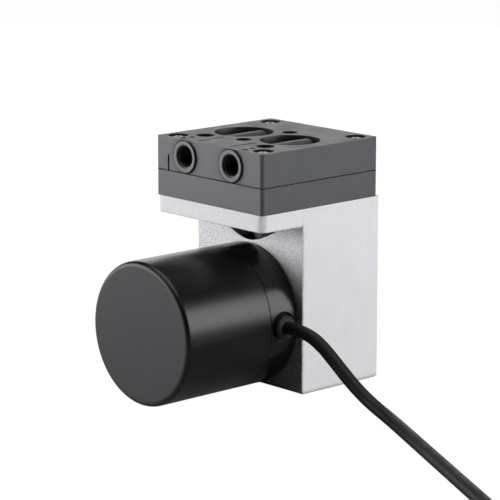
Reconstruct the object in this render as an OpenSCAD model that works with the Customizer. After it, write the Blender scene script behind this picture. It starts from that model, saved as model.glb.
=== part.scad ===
// Diaphragm vacuum pump: a two-port head on an L-shaped alloy housing, driven by a
// brushless motor with an outer rotor inside a round can. A crank moves the rod and the
// diaphragm up and down below two disc valves.
// X runs across the head, -Y points to the motor's front, +Z is up. The housing stands
// on Z = 0, and the origin is below the middle of the pump, its lead left out.

/* [Head] */
// Width and depth of the square head
head_w = 60; // [58:0.5:64]
// Height of the cover that holds the ports
cover_h = 13; // [13:0.5:16]
// Height of the plate below the cover
plate_h = 10; // [10:0.5:14]
// Radius of the head's upright corners
corner_r = 1.5; // [0.6:0.1:2]
// Width across the round core-outs in the cover's top
pocket_d = 23; // [20:0.5:23]
// Depth of the core-outs
pocket_depth = 8.7; // [7:0.1:9]

/* [Ports] */
// Wall diameter of the threaded port holes
port_d = 8.6; // [8:0.1:9]
// Distance of each port from the middle of the head
port_x = 13; // [12.5:0.5:14]
// Distance of the ports below the head's top
port_drop = 6.3; // [6.2:0.1:6.5]
// Length of the port thread
port_l = 9; // [7:0.5:10]
// Outer diameter of the raised port boss
boss_d = 12.1; // [11.8:0.1:12.4]
// Height of the port boss off the front face
boss_h = 0.6; // [0.3:0.1:1.5]

/* [Housing] */
// Height of the motor shaft above the floor
axis_h = 27.8; // [27.8:0.1:32]
// Distance from the shaft up to the diaphragm joint
rod_reach = 44.5; // [43:0.5:50]
// Height of the flange below the head
flange_h = 6.5; // [6:0.5:8]
// Distance from the face that carries the motor back to the rod's plane, mid-head
rod_setback = 9.1; // [8.5:0.1:11]
// Distance that the housing's back stands behind the head's
back_step = 1; // [0:0.1:2]
// Radius of the overhang's front corners
flange_r = 3; // [1:0.1:3.5]
// Radius of the rounded bottom edges
foot_r = 2; // [1:0.5:3]
// Sideways spacing of the mounting holes in the bottom
mount_dx = 44; // [40:1:46]
// Spacing of the mounting holes front to back
mount_dy = 26; // [22:1:28]

/* [Motor] */
// Outer diameter of the motor
motor_d = 55; // [52:0.5:55.5]
// Length of the motor in front of the housing
motor_l = 55.1; // [52:0.1:66]
// Length of the motor's base
base_l = 13.6; // [13.6:0.1:16]
// Wall of the motor can
can_wall = 1.2; // [1:0.1:1.5]
// Radius of the can's front edge
can_round = 2; // [1:0.5:3]
// Number of stator teeth
teeth = 12; // [9:3:12]
// Number of rotor magnets
magnets = 14; // [12:2:16]
// Diameter of the shaft and of the crank pin
shaft_d = 6; // [5:0.5:6]

/* [Mechanism] */
// Distance of the crank pin from the shaft's axis
throw = 1.8; // [1:0.1:2.2]
// Radius of the round bowl under the diaphragm
bowl_r = 17.5; // [16.5:0.5:18]
// Thickness of the diaphragm
dia_t = 1.6; // [1.2:0.1:1.8]
// Thickness of the clamping disc on the diaphragm
clamp_t = 2; // [1.8:0.1:2.4]
// Travel of the valve discs
valve_lift = 0.7; // [0.4:0.1:0.8]

/* [Lead] */
// Diameter of the motor lead
cable_d = 5; // [4:0.5:5]
// Radius of the first turn of the coiled lead
coil_r = 31; // [29:1:33]

/* [Hidden] */
$fn = 64;
eps = 0.01;

// Colours
alloy = [0.85, 0.86, 0.87];
black_plastic = [0.24, 0.24, 0.25];
can_black = [0.1, 0.1, 0.11];
steel = [0.75, 0.76, 0.78];
dark_steel = [0.35, 0.36, 0.38];
rubber = [0.08, 0.08, 0.08];
copper = [0.72, 0.4, 0.2];
board_green = [0.05, 0.3, 0.18];

// Heights
body_h = axis_h + rod_reach;
plate_top = body_h + plate_h;
top_z = plate_top + cover_h;
port_z = top_z - port_drop;

// Places front to back: the whole pump is centred on Y = 0
setback = head_w / 2 - rod_setback;
overhang = motor_l - setback;
front_y = overhang - (head_w + back_step + overhang) / 2;
back_y = front_y + head_w + back_step;
mid_y = front_y + head_w / 2;
face_y = front_y + setback;
body_d = back_y - face_y;
motor_r = motor_d / 2;
shaft_r = shaft_d / 2;

// Screws in the head
screw_inset = 6;
m4_r = 2;
m4_tap_r = 1.65;
m4_head_r = 3.2;
m4_head_h = 2.7;
m4_bore_r = 3.9;
m4_sink = 2.9;
centre_screw_y = 12;
m3_r = 1.5;
m3_tap_r = 1.25;
m3_head_r = 2.75;
m3_head_h = 2;
m3_bore_r = 3.05;
m3_sink = [6.5, 2.9];
centre_thread_l = 4.4;
clear = 0.2;
cross_l = 0.62;
cross_w = 0.8;
cross_depth = 1.2;
tap_depth = 8;
set_screw_l = 5;
hex_sides = 6;

// Crank space in the housing
crank_bore_r = 16;
slot_w = 25;
slot_d = 12;
crank_bore_l = rod_setback + 8.5;
body_r = 0.6;
flange_tail = 5;
flange_l = setback + flange_tail;
root_l = 7;
root_drop = 0.7;
slot_overlap = 1;
bowl_depth = 11;
cone_h = 6.2;
cone_flare = 1.63;
neck_r = bowl_r - cone_h * cone_flare;
rim_r = 22;
rim_clear = 0.2;

// Working chamber and valves
dish_gap = 0.5;
dish_h = throw + clamp_t + dish_gap;
dish_r = 14.5;
valve_x = port_x - 3;
valve_space_r = 7;
valve_space_h = 2.2;
valve_disc_r = 5.5;
valve_disc_t = 1;
valve_post_r = 1;
valve_stop_r = 1.9;
seat_gap = 0.05;
valve_stop_h = valve_space_h - valve_disc_t - valve_lift - 2 * seat_gap;
seat_hole_r = 1;
seat_hole_ring = 3.2;
duct_r = 2;
seal_ring_r = 8.6;
seal_r = 0.6;
tube_r = boss_d / 2 - 0.25;
tube_end_gap = 1.6;
post_clear = 0.1;
tube_edge = 1;
sink_d = 0.4;
seam_h = 0.3;
seam_in = 0.4;

// Moulded marks in the cover, measured from its front face and its middle
dimple = [17, 13.6];
dimple_d = 7;
dimple_depth = 1.6;
dot = [17, 7];
dot_d = 2.5;
dot_depth = 1.2;
gate = [17.6, 3];
gate_depth = 0.3;
groove = [8.8, 2.8];
groove_w = 0.9;
groove_l = 13.4;
groove_depth = 0.5;
slit_x = 23.2;
slit_w = 0.8;
slit_depth = 0.6;

// Rod and crank
rod_w = 6;
rod_bearing_r = 8.5;
rod_ring_r = 11;
rod_disc_r = 10;
rod_disc_h = 2.5;
rod_boss_r = 4.5;
rod_boss_l = 14;
rod_foot = [14, 8];
rod_stem_w = 8;
rod_taper_z = 20;
rod_rib = 1.6;
rod_pocket_z = 13;
rod_pocket_t = 1.4;
clamp_r = 11;
clamp_edge = 0.8;
clamp_screw_r = 2.5;
clamp_screw_l = 11;
clamp_hex_r = 1.7;
clamp_hex_depth = 1.4;
pin_z = axis_h - throw;
rod_top = rod_reach - dia_t;
pin_shoulder = 0.4;
pin_shoulder_w = 1;
pin_clip_t = 0.8;
pin_clip_w = 1.8;
pin_groove = 0.4;
pin_tip = 1;
hub_r = 10.8;
hub_gap = 0.6;
hub_wall = 0.7;
hub_l = rod_setback - rod_w / 2 - pin_shoulder - hub_gap;
weight_r = 14.5;
weight_h = min(2.2, hub_l - 1);

// Ball bearings, their balls midway between the two races
small_bearing_r = 6.5;
small_bearing_w = 5;
rod_ball_r = 1.5;
small_ball_r = 1;
ball_count = 7;
ball_clear = 0.02;
race_gap = 0.62;

// Motor
base_floor = 4;
base_wall = 2.6;
base_step_w = 1.2;
base_step_h = 0.9;
bearing_stop = 1.3;
lip_h = 3;
fit_gap = 0.05;
spigot_h = 3;
spigot_in_r = 12;
tube_wall = 2;
shaft_step = 0.4;
bell_r = motor_r - can_wall - 1;
bell_wall = 1.5;
magnet_t = 2.5;
magnet_share = 0.9;
air_gap = 0.4;
stator_r = bell_r - bell_wall - magnet_t - air_gap;
yoke_r = small_bearing_r + tube_wall + 3;
shoe_t = stator_r * 0.076;
shoe_gap = stator_r * 0.076;
tooth_w = stator_r * 0.12;
winding_gap = 0.3;
can_front = 1.5;
can_seam = 0.25;
bell_front = motor_l - can_front - 2.1;
bell_floor = 2;
bell_edge = 2;
bell_hub_l = 5;
bell_hub_wall = 3;
vent_r = 3.5;
vent_ring = bell_r * 0.58;
bell_back = base_l + lip_h + 1.4;
coil_end = 2.5;
stack_back = bell_back + 2;
stack_l = bell_front - bell_floor - bell_hub_l - 1 - 2 * coil_end - stack_back;
tube_l = stack_back + stack_l + coil_end;
base_screw_ring = motor_r - 7;
base_screw_angles = [30, 150, 270];
base_screw_bite = 7;
stand_ring = motor_r - 6.5;
stand_angles = [60, 180, 300];
stand_r = 2.4;
stand_screw_r = 1;
stand_screw_l = 4;
stand_head_r = 2;
stand_head_h = 1.4;
stand_hex_r = 0.9;
board_back = 10.8;
board_t = 1.6;
board_r = motor_r - 3.2;

// Parts on the driver board
chip = [6, 5, 1.4];
chip_x = board_r * 0.53;
chip_angles = [90, 150, 210];
cap_r = 2.2;
cap_x = board_r * 0.62;
cap_angles = [120, 240];
terminal_x = small_bearing_r + tube_wall + 2;
terminal_w = 5.5;
terminal_l = 8;
terminal_h = 4.6;
core_l = 1;
core_r = 0.45;
core_step = 1.1;
jacket_end_x = terminal_x + terminal_w + core_l;

// Lead: the gland's place and the route of the lead, laid out by hand
gland_y = face_y - 7.5;
gland_recess_r = 5.75;
gland_recess_x = motor_r - 1.6;
gland_r = 4.5;
gland_neck_r = 3.3;
gland_out = 1.8;
lead_r = cable_d / 2;
lead_sides = 10;
floor_gap = 0.1;
lead_start_x = motor_r + gland_out;
route = [[31, 0, 27.8], [35, 0.4, 27.7], [39, 1, 27], [43, 1.5, 25.5], [47, 1.9, 23.1],
    [51, 2.3, 20], [55, 2.7, 16.7], [59, 3.1, 13.4], [63, 3.5, 10.4], [67, 3.8, 7.9],
    [71, 3.9, 5.9], [75, 3.7, 4.4], [79, 3, 3.4], [83, 1.7, 2.8], [87, -0.1, 2.6],
    [97, -5.4, 2.6], [107, -10.7, 2.6], [117, -16, 2.6], [127, -21.3, 2.6],
    [137, -26.6, 2.6], [147, -31.9, 2.6], [157, -37.2, 2.6], [167, -42.5, 2.6],
    [177, -47.8, 2.6], [187, -53.1, 2.6], [193, -56.3, 2.6]];
lead_points = concat([[lead_start_x, gland_y, axis_h]], route);
coil_at = [213.7, -32.2];
coil_start = 242;
coil_flat = 1.5;
coil_top = 0.35;
coil_drop = cable_d * coil_flat;
plug = [10, 12, 5.8];
plug_hole = 1.8;
plug_hole_l = 7;
plug_pitch = 3;

// A rectangle from the middle with rounded corners
module rounded_rect(w, d, r) {
    square([w - 2 * r, d], center = true);
    square([w, d - 2 * r], center = true);
    for (x = [-1, 1], y = [-1, 1])
        translate([x * (w / 2 - r), y * (d / 2 - r)]) circle(r);
}

// The head's outline raised by h
module head_block(h, d = head_w) {
    linear_extrude(h) rounded_rect(head_w, d, corner_r);
}

// Turns a shape so that its Z runs to the motor's front, h in front of the housing
module on_shaft(h = 0, z = axis_h) {
    translate([0, face_y - h, z]) rotate([90, 0, 0]) children();
}

// Places a child at each head screw
module at_head_screws() {
    for (x = [-1, 1], y = [-1, 1])
        translate([x * (head_w / 2 - screw_inset), mid_y + y * (head_w / 2 - screw_inset)])
            children();
}

// A screw with a cross recess in its domed head, its seat at Z = 0: grip is its length
// to the threaded hole, thread_l what turns into it
module pan_screw(r, head_r, head_h, grip, thread_r, thread_l) {
    difference() {
        union() {
            translate([0, 0, -grip]) cylinder(h = grip + eps, r = r);
            translate([0, 0, -grip - thread_l]) cylinder(h = thread_l + eps, r = thread_r);
            rotate_extrude() {
                square([head_r, head_h * 0.6]);
                intersection() {
                    square([head_r, head_h]);
                    translate([0, head_h - head_r * 1.6]) circle(head_r * 1.6);
                }
            }
        }
        for (a = [45, 135]) rotate([0, 0, a])
            translate([-head_r * cross_l, -cross_w / 2, head_h - cross_depth])
                cube([2 * head_r * cross_l, cross_w, head_h]);
    }
}

// A ring about the Z axis
module ring(r_out, r_in, h) {
    difference() {
        cylinder(h = h, r = r_out);
        translate([0, 0, -1]) cylinder(h = h + 2, r = r_in);
    }
}

// A bearing's outer and inner race, with the groove that its balls run in
module outer_race(r, w, ball_r) {
    difference() {
        ring(r, (r + shaft_r) / 2 + race_gap * ball_r, w);
        ball_groove(r, w, ball_r + ball_clear);
    }
}

module inner_race(r, w, ball_r) {
    difference() {
        ring((r + shaft_r) / 2 - race_gap * ball_r, shaft_r, w);
        ball_groove(r, w, ball_r + ball_clear);
    }
}

module ball_groove(r, w, groove_r) {
    translate([0, 0, w / 2]) rotate_extrude() translate([(r + shaft_r) / 2, 0]) circle(groove_r);
}

// A bearing's balls
module balls(r, w, ball_r) {
    for (i = [0 : ball_count - 1]) rotate([0, 0, i * 360 / ball_count])
        translate([(r + shaft_r) / 2, 0, w / 2]) sphere(ball_r);
}

module housing() {
    color(alloy) difference() {
        union() {
            // Upright body, its bottom edges rounded both ways
            intersection() {
                translate([0, face_y + body_d / 2, 0]) linear_extrude(body_h)
                    rounded_rect(head_w, body_d, body_r);
                translate([-head_w, face_y + body_d / 2, body_h / 2])
                    rotate([90, 0, 90]) linear_extrude(2 * head_w)
                        foot_outline(body_d);
                translate([0, back_y + 1, body_h / 2])
                    rotate([90, 0, 0]) linear_extrude(head_w + 2) foot_outline(head_w);
            }
            // Overhang, thicker where it joins the body
            translate([0, face_y + flange_tail - flange_l / 2, body_h - flange_h])
                linear_extrude(flange_h) rounded_rect(head_w, flange_l, flange_r);
            translate([head_w / 2 - body_r, face_y, body_h - flange_h]) rotate([90, 0, -90])
                linear_extrude(head_w - 2 * body_r) polygon([[-1, 1], [-1, -root_drop],
                    [0, -root_drop], [root_l, 0], [root_l, 1]]);
        }
        // Round space under the diaphragm, its lower part a funnel, and the rim's seat
        translate([0, mid_y, body_h - bowl_depth]) cylinder(h = bowl_depth + 1, r = bowl_r);
        translate([0, mid_y, body_h - bowl_depth - cone_h])
            cylinder(h = cone_h + eps, r1 = neck_r, r2 = bowl_r);
        translate([0, mid_y, body_h - dia_t]) cylinder(h = dia_t + 1, r = rim_r + rim_clear);
        // Slot for the rod, and the crank's bore behind the motor
        translate([-slot_w / 2, mid_y - slot_d / 2, axis_h])
            cube([slot_w, slot_d, rod_reach - bowl_depth - cone_h + slot_overlap]);
        on_shaft(-crank_bore_l) cylinder(h = crank_bore_l + 1, r = crank_bore_r);
        // Threaded holes: head, motor and mounting
        at_head_screws() translate([0, 0, body_h - flange_h - 0.5])
            cylinder(h = flange_h + 1, r = m4_tap_r);
        for (a = base_screw_angles) on_shaft() rotate([0, 0, a])
            translate([base_screw_ring, 0, -tap_depth]) cylinder(h = tap_depth + 1, r = m3_tap_r);
        for (x = [-1, 1], y = [-1, 1])
            translate([x * mount_dx / 2, face_y + body_d / 2 + y * mount_dy / 2, -1])
                cylinder(h = tap_depth + 1, r = m4_tap_r);
    }
}

// The upright body's side outline, rounded at the bottom
module foot_outline(w) {
    translate([-w / 2, foot_r - body_h / 2]) square([w, body_h]);
    translate([foot_r - w / 2, -body_h / 2]) square([w - 2 * foot_r, body_h]);
    for (x = [-1, 1])
        translate([x * (w / 2 - foot_r), -body_h / 2 + foot_r]) circle(foot_r);
}

module lower_head_plate() {
    color(black_plastic) difference() {
        union() {
            difference() {
                translate([0, mid_y, body_h]) head_block(plate_h);
                for (x = [-valve_x, valve_x])
                    translate([x, mid_y, plate_top - valve_space_h])
                        cylinder(h = valve_space_h + 1, r = valve_space_r);
            }
            // Guide posts of the valve discs, with a stop below the inlet disc
            for (x = [-valve_x, valve_x])
                translate([x, mid_y, plate_top - valve_space_h - 1])
                    cylinder(h = valve_space_h + 1 - seat_gap, r = valve_post_r);
            translate([-valve_x, mid_y, plate_top - valve_space_h - 1])
                cylinder(h = 1 + valve_stop_h, r = valve_stop_r);
        }
        // Dish above the diaphragm
        translate([0, mid_y, body_h - eps]) cylinder(h = dish_h + eps, r1 = bowl_r, r2 = dish_r);
        // Seat holes between the dish and each valve
        for (x = [-valve_x, valve_x], a = [45 : 90 : 315])
            translate([x, mid_y, body_h]) rotate([0, 0, a]) translate([seat_hole_ring, 0, 0])
                cylinder(h = plate_h - valve_space_h / 2, r = seat_hole_r);
        for (x = [-valve_x, valve_x])
            translate([x, mid_y, plate_top - 2 * seal_r]) ring(seal_ring_r + seal_r,
                seal_ring_r - seal_r, 2);
        at_head_screws() translate([0, 0, body_h - 1]) cylinder(h = plate_h + 2, r = m4_r + clear);
        for (y = [-1, 1])
            translate([0, mid_y + y * centre_screw_y, plate_top - centre_thread_l])
                cylinder(h = centre_thread_l + 1, r = m3_tap_r);
    }
}

module head_cover() {
    color(black_plastic) difference() {
        union() {
            difference() {
                union() {
                    translate([0, mid_y, plate_top + seam_h]) head_block(cover_h - seam_h);
                    translate([0, mid_y, plate_top]) linear_extrude(seam_h + eps)
                        rounded_rect(head_w - 2 * seam_in, head_w - 2 * seam_in, corner_r);
                }
                for (x = [-port_x, port_x])
                    translate([x, mid_y, top_z - pocket_depth])
                        cylinder(h = pocket_depth + 1, d = pocket_d);
            }
            // Port tubes across the core-outs, and the raised bosses
            for (x = [-port_x, port_x]) {
                translate([x, mid_y + pocket_d / 2 - tube_end_gap, port_z]) rotate([90, 0, 0])
                    port_tube(pocket_d - tube_end_gap + 2);
                translate([x, front_y + 2, port_z]) rotate([90, 0, 0])
                    cylinder(h = 2 + boss_h, d = boss_d);
            }
            // Stop above the outlet disc
            translate([valve_x, mid_y, plate_top - valve_stop_h])
                ring(valve_stop_r, valve_post_r + post_clear, valve_stop_h + eps);
        }
        for (x = [-port_x, port_x]) {
            // Thread, its countersunk mouth, and the duct down to the valve
            translate([x, front_y + port_l, port_z]) rotate([90, 0, 0])
                cylinder(h = port_l + 2, d = port_d);
            translate([x, front_y - boss_h + sink_d, port_z]) rotate([90, 0, 0])
                cylinder(h = sink_d + eps, d1 = port_d, d2 = port_d + 2 * sink_d);
            translate([x, mid_y, port_z]) rotate([90, 0, 0])
                cylinder(h = head_w / 2 - port_l + 1, r = duct_r);
            translate([x, mid_y, plate_top - 1]) cylinder(h = cover_h - port_drop + 1, r = duct_r);
            translate([x, mid_y, port_z]) sphere(duct_r);
        }
        at_head_screws() {
            translate([0, 0, plate_top - 1]) cylinder(h = cover_h + 2, r = m4_r + clear);
            translate([0, 0, top_z - m4_sink]) cylinder(h = m4_sink + 1, r = m4_bore_r);
        }
        for (i = [0, 1]) translate([0, mid_y + (2 * i - 1) * centre_screw_y, 0]) {
            translate([0, 0, plate_top - 1]) cylinder(h = cover_h + 2, r = m3_r + clear);
            translate([0, 0, top_z - m3_sink[i]]) cylinder(h = m3_sink[i] + 1, r = m3_bore_r);
        }
        top_marks();
    }
}

// A port tube with a rounded far end
module port_tube(l) {
    rotate_extrude() {
        square([tube_r - tube_edge, l]);
        translate([0, tube_edge]) square([tube_r, l - tube_edge]);
        translate([tube_r - tube_edge, tube_edge]) circle(tube_edge);
    }
}

// Shallow recesses in the cover's top and front, as moulded
module top_marks() {
    for (x = [-1, 1]) {
        translate([x * dimple[0], front_y + dimple[1], top_z - dimple_depth])
            cylinder(h = dimple_depth + 1, d = dimple_d);
        translate([x * dot[0], front_y + dot[1], top_z - dot_depth])
            cylinder(h = dot_depth + 1, d = dot_d);
        translate([x * gate[0], front_y + gate[1], top_z - gate_depth])
            cylinder(h = gate_depth + 1, d = dot_d);
        translate([x * groove[0] - groove_w / 2, front_y + groove[1], top_z - groove_depth])
            cube([groove_w, groove_l, groove_depth + 1]);
    }
    translate([-slit_x, front_y - 1, plate_top - 1])
        cube([slit_w, slit_depth + 1, 1 + cover_h / 2]);
}

module head_screws() {
    color(steel) at_head_screws() translate([0, 0, top_z - m4_sink])
        pan_screw(m4_r, m4_head_r, m4_head_h, cover_h - m4_sink + plate_h, m4_tap_r,
            flange_h - 0.7);
}

module centre_screws() {
    color(steel) for (i = [0, 1])
        translate([0, mid_y + (2 * i - 1) * centre_screw_y, top_z - m3_sink[i]])
            pan_screw(m3_r, m3_head_r, m3_head_h, cover_h - m3_sink[i], m3_tap_r,
                centre_thread_l - 0.3);
}

module valve_seals() {
    color(rubber) for (x = [-valve_x, valve_x]) translate([x, mid_y, plate_top - seal_r])
        rotate_extrude() translate([seal_ring_r, 0]) circle(seal_r);
}

// A floating valve disc on its guide post
module valve_disc() {
    ring(valve_disc_r, valve_post_r + post_clear, valve_disc_t);
}

module inlet_valve_disc() {
    color(rubber) translate([-valve_x, mid_y, plate_top - seat_gap - valve_disc_t]) valve_disc();
}

module outlet_valve_disc() {
    color(rubber) translate([valve_x, mid_y, plate_top - valve_space_h + seat_gap]) valve_disc();
}

// The diaphragm in its lowest place, its middle one throw below the rim
module diaphragm() {
    color(rubber) translate([0, mid_y, body_h]) rotate_extrude() polygon([
        [clamp_screw_r, -throw], [clamp_r, -throw], [bowl_r - 2, 0], [rim_r, 0],
        [rim_r, -dia_t], [bowl_r - 2, -dia_t], [clamp_r, -throw - dia_t],
        [clamp_screw_r, -throw - dia_t]]);
}

module clamp_disc() {
    color(steel) translate([0, mid_y, body_h - throw]) difference() {
        rotate_extrude() {
            square([clamp_r - clamp_edge, clamp_t]);
            square([clamp_r, clamp_t - clamp_edge]);
            translate([clamp_r - clamp_edge, clamp_t - clamp_edge]) circle(clamp_edge);
        }
        translate([0, 0, -eps])
            cylinder(h = clamp_t + 2 * eps, r1 = clamp_screw_r, r2 = clamp_screw_r + clamp_t);
    }
}

module clamp_screw() {
    color(dark_steel) translate([0, mid_y, body_h - throw]) difference() {
        rotate_extrude() polygon([[0, clamp_t], [clamp_screw_r + clamp_t, clamp_t],
            [clamp_screw_r, 0], [clamp_screw_r, -dia_t - clamp_screw_l],
            [0, -dia_t - clamp_screw_l]]);
        translate([0, 0, clamp_t - clamp_hex_depth])
            cylinder(h = clamp_hex_depth + 1, r = clamp_hex_r, $fn = hex_sides);
    }
}

module connecting_rod() {
    stem = rod_stem_w / 2;
    pocket = stem - rod_rib;
    pocket_top = rod_top - rod_boss_l - 2;
    color(black_plastic) translate([0, mid_y, pin_z]) difference() {
        union() {
            translate([0, rod_w / 2, 0]) rotate([90, 0, 0]) cylinder(h = rod_w, r = rod_ring_r);
            // Stem, wider at the ring
            translate([0, rod_w / 2, 0]) rotate([90, 0, 0]) linear_extrude(rod_w)
                polygon([[-rod_foot[0] / 2, rod_foot[1]], [rod_foot[0] / 2, rod_foot[1]],
                    [stem, rod_taper_z], [stem, rod_top - rod_disc_h],
                    [-stem, rod_top - rod_disc_h], [-stem, rod_taper_z]]);
            translate([0, 0, rod_top - rod_boss_l]) cylinder(h = rod_boss_l, r = rod_boss_r);
            translate([0, 0, rod_top - rod_disc_h - 3])
                cylinder(h = 3, r1 = rod_boss_r, r2 = rod_disc_r);
            translate([0, 0, rod_top - rod_disc_h]) cylinder(h = rod_disc_h, r = rod_disc_r);
        }
        translate([0, rod_w, 0]) rotate([90, 0, 0]) cylinder(h = 2 * rod_w, r = rod_bearing_r);
        // Pockets that leave an I-shaped stem
        for (s = [-1, 1]) translate([0, s * rod_w / 2, 0]) rotate([90, 0, 0])
            linear_extrude(2 * rod_pocket_t, center = true)
                polygon([[-stem, rod_pocket_z], [stem, rod_pocket_z], [pocket, rod_taper_z],
                    [pocket, pocket_top], [-pocket, pocket_top], [-pocket, rod_taper_z]]);
        translate([0, 0, rod_top - clamp_screw_l - clear])
            cylinder(h = clamp_screw_l + 1, r = clamp_screw_r);
    }
}

// The rod bearing's parts run about the pin, from its back face forward
module on_pin() {
    translate([0, mid_y + rod_w / 2, pin_z]) rotate([90, 0, 0]) children();
}

module rod_bearing_outer_ring() {
    color(steel) on_pin() outer_race(rod_bearing_r, rod_w, rod_ball_r);
}

module rod_bearing_inner_ring() {
    color(steel) on_pin() inner_race(rod_bearing_r, rod_w, rod_ball_r);
}

module rod_bearing_balls() {
    color(steel) on_pin() balls(rod_bearing_r, rod_w, rod_ball_r);
}

module pin_clip() {
    color(dark_steel) translate([0, mid_y + rod_w / 2 + pin_clip_t, pin_z]) rotate([90, 0, 0])
        difference() {
            ring(shaft_r + pin_clip_w, shaft_r - pin_groove, pin_clip_t);
            translate([-shaft_r / 3, 0, -1]) cube([shaft_r / 1.5, 2 * shaft_d, pin_clip_t + 2]);
        }
}

// Hub on the shaft with the crank pin on its back and a half-round counterweight
module eccentric() {
    pin_l = pin_shoulder + rod_w + pin_clip_t + pin_tip;
    color(dark_steel) difference() {
        union() {
            on_shaft(-hub_gap - hub_l) cylinder(h = hub_l, r = hub_r);
            intersection() {
                on_shaft(-hub_gap - hub_l) cylinder(h = weight_h, r = weight_r);
                translate([-weight_r, face_y, axis_h + 1]) cube([2 * weight_r, hub_l + 2, weight_r]);
            }
            on_shaft(-hub_gap - hub_l - pin_shoulder, pin_z)
                cylinder(h = pin_shoulder + 1, r = shaft_r + pin_shoulder_w);
            on_shaft(-hub_gap - hub_l - pin_l, pin_z) cylinder(h = pin_l + 1, r = shaft_r);
        }
        on_shaft(-hub_gap - hub_l + hub_wall) cylinder(h = hub_l, r = shaft_r);
        on_shaft(-hub_gap - hub_l / 2) rotate([90, 0, 0]) cylinder(h = hub_r + 2, r = m3_tap_r);
        translate([0, mid_y + rod_w / 2 + pin_clip_t, pin_z]) rotate([90, 0, 0])
            ring(shaft_r + pin_clip_w, shaft_r - pin_groove, pin_clip_t);
    }
}

module eccentric_set_screw() {
    color(steel) on_shaft(-hub_gap - hub_l / 2) rotate([90, 0, 0]) translate([0, 0, shaft_r])
        difference() {
            cylinder(h = set_screw_l, r = m3_tap_r);
            translate([0, 0, set_screw_l - m3_r])
                cylinder(h = m3_r + 1, r = m3_r / 2, $fn = hex_sides);
        }
}

module motor_shaft() {
    l = bell_front + hub_gap + hub_l - hub_wall;
    color(steel) on_shaft(-hub_gap - hub_l + hub_wall) rotate_extrude() {
        square([shaft_r, l - shaft_step]);
        square([shaft_r - shaft_step, l]);
    }
}

module rotor_bell() {
    color(dark_steel) on_shaft() difference() {
        rotate_extrude() polygon([
            [shaft_r, bell_front], [bell_r - bell_edge, bell_front],
            [bell_r, bell_front - bell_edge], [bell_r, bell_back],
            [bell_r - bell_wall, bell_back], [bell_r - bell_wall, bell_front - bell_floor],
            [shaft_r + bell_hub_wall + 1, bell_front - bell_floor],
            [shaft_r + bell_hub_wall, bell_front - bell_floor - bell_hub_l],
            [shaft_r, bell_front - bell_floor - bell_hub_l]]);
        for (a = [0 : 60 : 300]) rotate([0, 0, a])
            translate([vent_ring, 0, bell_front - bell_floor - 1])
                cylinder(h = bell_floor + 2, r = vent_r);
    }
}

module rotor_magnets() {
    step = 360 / magnets;
    half = step * magnet_share / 2;
    color(steel) on_shaft(bell_back) for (i = [0 : magnets - 1]) rotate([0, 0, i * step])
        intersection() {
            ring(bell_r - bell_wall, bell_r - bell_wall - magnet_t, stack_l + 2 * coil_end);
            linear_extrude(stack_l + 2 * coil_end) polygon([[0, 0],
                for (s = [-1, 1]) [bell_r * cos(half), s * bell_r * sin(half)]]);
        }
}

module stator_core() {
    color(dark_steel) on_shaft(stack_back) linear_extrude(stack_l) difference() {
        union() {
            circle(yoke_r);
            difference() {
                circle(stator_r);
                circle(stator_r - shoe_t);
                for (i = [0 : teeth - 1]) rotate((i + 0.5) * 360 / teeth)
                    translate([0, -shoe_gap / 2]) square([stator_r + 1, shoe_gap]);
            }
            for (i = [0 : teeth - 1]) rotate(i * 360 / teeth)
                translate([yoke_r - 1, -tooth_w / 2]) square([stator_r - yoke_r, tooth_w]);
        }
        circle(small_bearing_r + tube_wall);
    }
}

module stator_windings() {
    r_in = yoke_r + 2 * winding_gap;
    r_out = stator_r - shoe_t - winding_gap;
    half = tan(180 / teeth);
    color(copper) for (i = [0 : teeth - 1]) on_shaft(stack_back - coil_end)
        rotate([0, 0, i * 360 / teeth]) difference() {
            linear_extrude(stack_l + 2 * coil_end) intersection() {
                circle(r_out);
                polygon([[r_in, winding_gap - r_in * half], [r_out, winding_gap - r_out * half],
                    [r_out, r_out * half - winding_gap], [r_in, r_in * half - winding_gap]]);
            }
            translate([0, -tooth_w / 2, coil_end]) cube([stator_r, tooth_w, stack_l]);
        }
}

// The small bearings' parts, h in front of the housing's face
module small_outer_ring(h) {
    color(steel) on_shaft(h) outer_race(small_bearing_r, small_bearing_w, small_ball_r);
}

module small_inner_ring(h) {
    color(steel) on_shaft(h) inner_race(small_bearing_r, small_bearing_w, small_ball_r);
}

module small_balls(h) {
    color(steel) on_shaft(h) balls(small_bearing_r, small_bearing_w, small_ball_r);
}

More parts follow.
